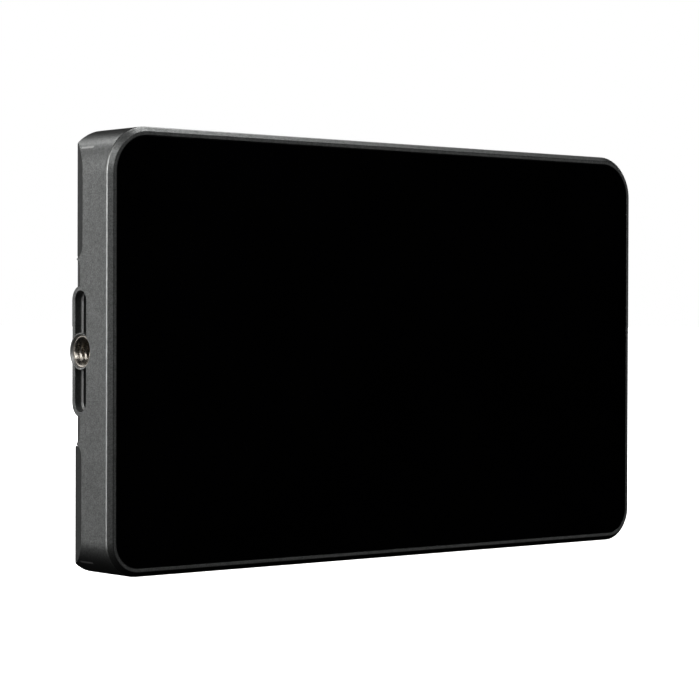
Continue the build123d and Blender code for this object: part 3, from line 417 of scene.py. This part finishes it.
def thread_radius(depth, turn):
    """The wall's radius at a depth and angle: sharp 60 degree ridges that fade in at the countersink."""
    minor = MOUNTS["side_thread"]["dims"]["r_mm"] * MM
    phase = (depth / THREAD_PITCH - turn / (2 * math.pi)) % 1.0
    ridge = abs(2 * phase - 1)
    flat_crest = min(1.0, max(0.0, (ridge - 0.12) / 0.7))
    return THREAD_MAJOR + (minor - THREAD_MAJOR) * flat_crest


def threaded_insert(name, material):
    """An insert along Z with its mouth at zero: outer wall, rim, countersink, helical thread and floor."""
    bm = bmesh.new()
    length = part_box("side_thread_insert")[1].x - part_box("side_thread_insert")[0].x
    minor = MOUNTS["side_thread"]["dims"]["r_mm"] * MM
    sink_depth = SINK_RADIUS - minor
    outside = [(INSERT_RADIUS, -length), (INSERT_RADIUS, -RIM_EDGE), (INSERT_RADIUS - RIM_EDGE, 0.0),
               (SINK_RADIUS + RIM_EDGE * 0.4, 0.0), (SINK_RADIUS - RIM_EDGE * 0.5, -RIM_EDGE * 0.5)]
    step_down = THREAD_PITCH / THREAD_ROWS
    first = sink_depth * 0.6
    rows = int((THREAD_END - first) / step_down)
    columns = []
    for index in range(THREAD_STEPS):
        turn = 2 * math.pi * index / THREAD_STEPS
        profile = list(outside)
        for row in range(rows + 1):
            depth = first + row * step_down
            radius = thread_radius(depth, turn)
            if depth < sink_depth * 1.9:
                radius = max(SINK_RADIUS - depth, radius)
            profile.append((radius, -depth))
        columns.append([bm.verts.new((radius * math.cos(turn), radius * math.sin(turn), z))
                        for radius, z in profile])
    for index in range(THREAD_STEPS):
        near, far = columns[index], columns[(index + 1) % THREAD_STEPS]
        for row in range(len(near) - 1):
            bm.faces.new((near[row], far[row], far[row + 1], near[row + 1]))
    bm.faces.new([column[0] for column in columns])
    bm.faces.new([column[-1] for column in columns])
    return add_piece(name, bm, material, smooth_angle=38)


def place_inserts(made):
    """Puts an insert in each threaded mount; its mouth points out along the mount's axis."""
    for mount in ("side_thread", "bottom_thread"):
        node = mount + "_insert"
        low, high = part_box(node)
        outwards = Vector(MOUNTS[mount]["axis"])
        mouth = (low + high) / 2
        along = max(range(3), key=lambda i: abs(outwards[i]))
        mouth[along] = low[along]
        insert = threaded_insert(mount + "_detail", made["insert_steel"])
        turn = outwards.to_track_quat("Z", "X").to_matrix().to_4x4()
        insert.data.transform(Matrix.Translation(mouth) @ turn)
        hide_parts(node)
        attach(insert, "light_body")


# ---- Printed marks on the rear ------------------------------------------------------------------
MARK_HEIGHT = 0.02 * MM
SCALE_RADIUS = 9.5 * MM
SCALE_START = 225
SCALE_SWEEP = 270
SCALE_TICKS = 21
LONG_TICK_EVERY = 5
LONG_TICK = (1.6 * MM, 0.16 * MM)
SHORT_TICK = (0.9 * MM, 0.1 * MM)
KEYS = ("mode", "menu", "effect")
DOT_RADIUS = 0.32 * MM
DOT_SPACING = 1.3 * MM
DOT_RISE = 6.2 * MM
DOT_SIDES = 16


def add_slab(bm, corners, low, high):
    """A thin plate between two depths, whose outline is given across and up."""
    bottom = [bm.verts.new((x, low, z)) for x, z in corners]
    top = [bm.verts.new((x, high, z)) for x, z in corners]
    bm.faces.new(bottom)
    bm.faces.new(top)
    for index in range(len(corners)):
        after = (index + 1) % len(corners)
        bm.faces.new((bottom[index], bottom[after], top[after], top[index]))


def dial_marks(dial, material):
    """A scale of ticks round a dial's well, from short to long."""
    centre = box_centre(dial + "_knob")
    bm = bmesh.new()
    for index in range(SCALE_TICKS):
        turn = math.radians(SCALE_START - SCALE_SWEEP * index / (SCALE_TICKS - 1))
        length, half = LONG_TICK if index % LONG_TICK_EVERY == 0 else SHORT_TICK
        ray = Vector((math.cos(turn), math.sin(turn)))
        side = Vector((-ray.y, ray.x))
        corners = []
        ends = (SCALE_RADIUS, SCALE_RADIUS + length)
        for reach, offset in ((ends[0], -half), (ends[0], half), (ends[1], half), (ends[1], -half)):
            point = ray * reach + side * offset
            corners.append((centre.x + point.x, centre.z + point.y))
        add_slab(bm, corners, REAR_Y - MARK_HEIGHT / 2, REAR_Y + MARK_HEIGHT)
    return add_piece(dial + "_dial_scale", bm, material)


def button_marks(key, material):
    """One, two or three dots above a button."""
    centre = box_centre(key + "_button")
    count = KEYS.index(key) + 1
    bm = bmesh.new()
    for index in range(count):
        across = (index - (count - 1) / 2) * DOT_SPACING
        corners = []
        for step in range(DOT_SIDES):
            turn = 2 * math.pi * step / DOT_SIDES
            corners.append((centre.x + across + DOT_RADIUS * math.cos(turn),
                            centre.z + DOT_RISE + DOT_RADIUS * math.sin(turn)))
        add_slab(bm, corners, REAR_Y - MARK_HEIGHT / 2, REAR_Y + MARK_HEIGHT)
    return add_piece(key + "_button_dots", bm, material)


def place_marks():
    ink = moulded("printed_ink", (0.42, 0.43, 0.43), 0.6, specular=0.3)
    marks = [dial_marks(dial, ink) for dial in ("brightness", "colour")]
    marks += [button_marks(key, ink) for key in KEYS]
    for mark in marks:
        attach(mark, "light_body")


# ---- Stage, light and camera --------------------------------------------------------------------
FLOOR_HALF = 40.0
FLOOR_DROP = 0.05 * MM
FLOOR_SUN_POWER = 9.0
FLOOR_SUN_ANGLE = 110


def make_floor():
    """A pale floor that only the camera sees, with its own soft sun, so it casts no light back."""
    bm = bmesh.new()
    bmesh.ops.create_grid(bm, x_segments=1, y_segments=1, size=FLOOR_HALF)
    sh = Shader("floor_white")
    grain = sh.noise(0.9, detail=3.0)
    material = sh.finish(sh.mix(grain, (0.86, 0.86, 0.86), (0.9, 0.9, 0.9)), 0.9)
    floor = add_piece("floor", bm, material)
    floor.location.z = -FLOOR_DROP
    floor.visible_diffuse = False
    floor.visible_glossy = False
    floor.visible_transmission = False
    floor.visible_shadow = False
    floor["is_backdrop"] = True
    group = bpy.data.collections.new("floor_only")
    group.objects.link(floor)
    sun = add_light("floor_sun", "SUN", (0, 0, 3), (0, 0, 0), FLOOR_SUN_POWER)
    sun.data.angle = math.radians(FLOOR_SUN_ANGLE)
    sun.light_linking.receiver_collection = group
    sun.light_linking.blocker_collection = group


def add_light(name, kind, place, target, power, size=(1.0, 1.0)):
    """A light at a place that faces a target; the camera doesn't see it."""
    data = bpy.data.lights.new(name, kind)
    data.energy = power
    if kind == "AREA":
        data.shape = "RECTANGLE"
        data.size, data.size_y = size
    light = bpy.data.objects.new(name, data)
    light.location = place
    light.rotation_mode = "QUATERNION"
    light.rotation_quaternion = (Vector(place) - Vector(target)).to_track_quat("Z", "Y")
    light.visible_camera = False
    bpy.context.scene.collection.objects.link(light)
    return light


# Each soft box: its direction from the panel's middle, distance (m), power (W) and size (m).
SOFTBOXES = {
    "corner_highlight": ((-0.09, 0.764, 0.625), 1.6, 1.35, (0.2, 0.2)),
    "rear_left_high": ((-0.40, 0.764, 0.50), 1.6, 0.65, (0.4, 0.4)),
    "rear_left_upper": ((-0.58, 0.764, 0.32), 1.6, 1.05, (0.4, 0.4)),
    "rear_left": ((-0.645, 0.764, 0.12), 1.6, 0.8, (0.4, 0.4)),
    "rear_left_low": ((-0.645, 0.764, -0.1), 1.6, 0.62, (0.5, 0.5)),
    "floor_bounce": ((-0.645, 0.764, -0.42), 1.6, 0.12, (0.6, 0.6)),
    "overhead": ((0.38, 0.0, 0.92), 1.6, 4.4, (0.6, 0.6)),
    "left_edge_strip": ((-1.0, 0.05, 0.12), 1.6, 2.3, (0.15, 1.0)),
    "left_front_strip": ((-0.95, -0.25, 0.35), 1.6, 3.2, (0.3, 0.8)),
    "front_left": ((-0.764, -0.645, 0.75), 0.8, 0.7, (0.3, 0.3)),
    "front_high": ((-0.1, -0.7, 0.75), 0.4, 0.1, (0.2, 0.2)),
    "front_right": ((0.645, -0.764, 0.05), 1.8, 0.75, (0.8, 0.8)),
    "rear_right": ((0.764, 0.645, 0.15), 1.8, 5.0, (0.8, 0.8)),
    "rear_fill": ((0.4, 0.92, -0.05), 1.8, 0.65, (0.8, 0.8)),
}


def make_lights():
    """Places the soft boxes. They light the object alone, and front_right leaves out the window."""
    target = Vector((0, 0, MIDDLE_Z))
    everything = bpy.data.collections.new("light_on_object")
    metal_only = bpy.data.collections.new("light_beside_window")
    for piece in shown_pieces():
        everything.objects.link(piece)
        if piece != frame["nodes"]["front_window"]:
            metal_only.objects.link(piece)
    for name, (direction, distance, power, size) in SOFTBOXES.items():
        place = target + Vector(direction).normalized() * distance
        light = add_light(name, "AREA", place, target, power, size)
        light.light_linking.receiver_collection = metal_only if name == "front_right" else everything


def make_world():
    """A white surround that only the camera sees."""
    world = bpy.data.worlds.new("white_surround")
    world.use_nodes = True
    background = world.node_tree.nodes["Background"]
    background.inputs["Color"].default_value = (1, 1, 1, 1)
    background.inputs["Strength"].default_value = 1.0
    for kind in ("diffuse", "glossy", "transmission", "scatter"):
        setattr(world.cycles_visibility, kind, False)
    bpy.context.scene.world = world


CAMERA_LENS = 124.0
CAMERA_AZIMUTH = -40.2
CAMERA_ELEVATION = 0.61
CAMERA_ROLL = 0.17
CAMERA_DISTANCE = 590.0 * MM
CAMERA_AIM = (-14.36 * MM, 0.13 * MM)


def make_camera():
    """A long lens at the panel's mid-height, in front of its left corner."""
    azimuth = math.radians(CAMERA_AZIMUTH)
    elevation = math.radians(CAMERA_ELEVATION)
    back = Vector((math.sin(azimuth) * math.cos(elevation), -math.cos(azimuth) * math.cos(elevation),
                   math.sin(elevation)))
    right = Vector((0, 0, 1)).cross(back).normalized()
    up = back.cross(right)
    roll = Matrix.Rotation(math.radians(CAMERA_ROLL), 3, back)
    turn = Matrix((right, up, back)).transposed()
    data = bpy.data.cameras.new("camera")
    data.lens = CAMERA_LENS
    data.clip_start = 0.01
    data.clip_end = 100.0
    camera = bpy.data.objects.new("camera", data)
    aim = Vector((CAMERA_AIM[0], FRONT_Y, MIDDLE_Z + CAMERA_AIM[1]))
    camera.matrix_world = Matrix.Translation(aim + back * CAMERA_DISTANCE) @ (roll @ turn).to_4x4()
    bpy.context.scene.collection.objects.link(camera)
    bpy.context.scene.camera = camera


def set_look():
    scene = bpy.context.scene
    scene.view_settings.view_transform = "Standard"
    scene.view_settings.look = "None"
    scene.display_settings.display_device = "sRGB"


make_camera()
materials = make_materials()
dress_nodes(materials)
place_inserts(materials)
place_marks()
make_floor()
make_lights()
make_world()
set_look()
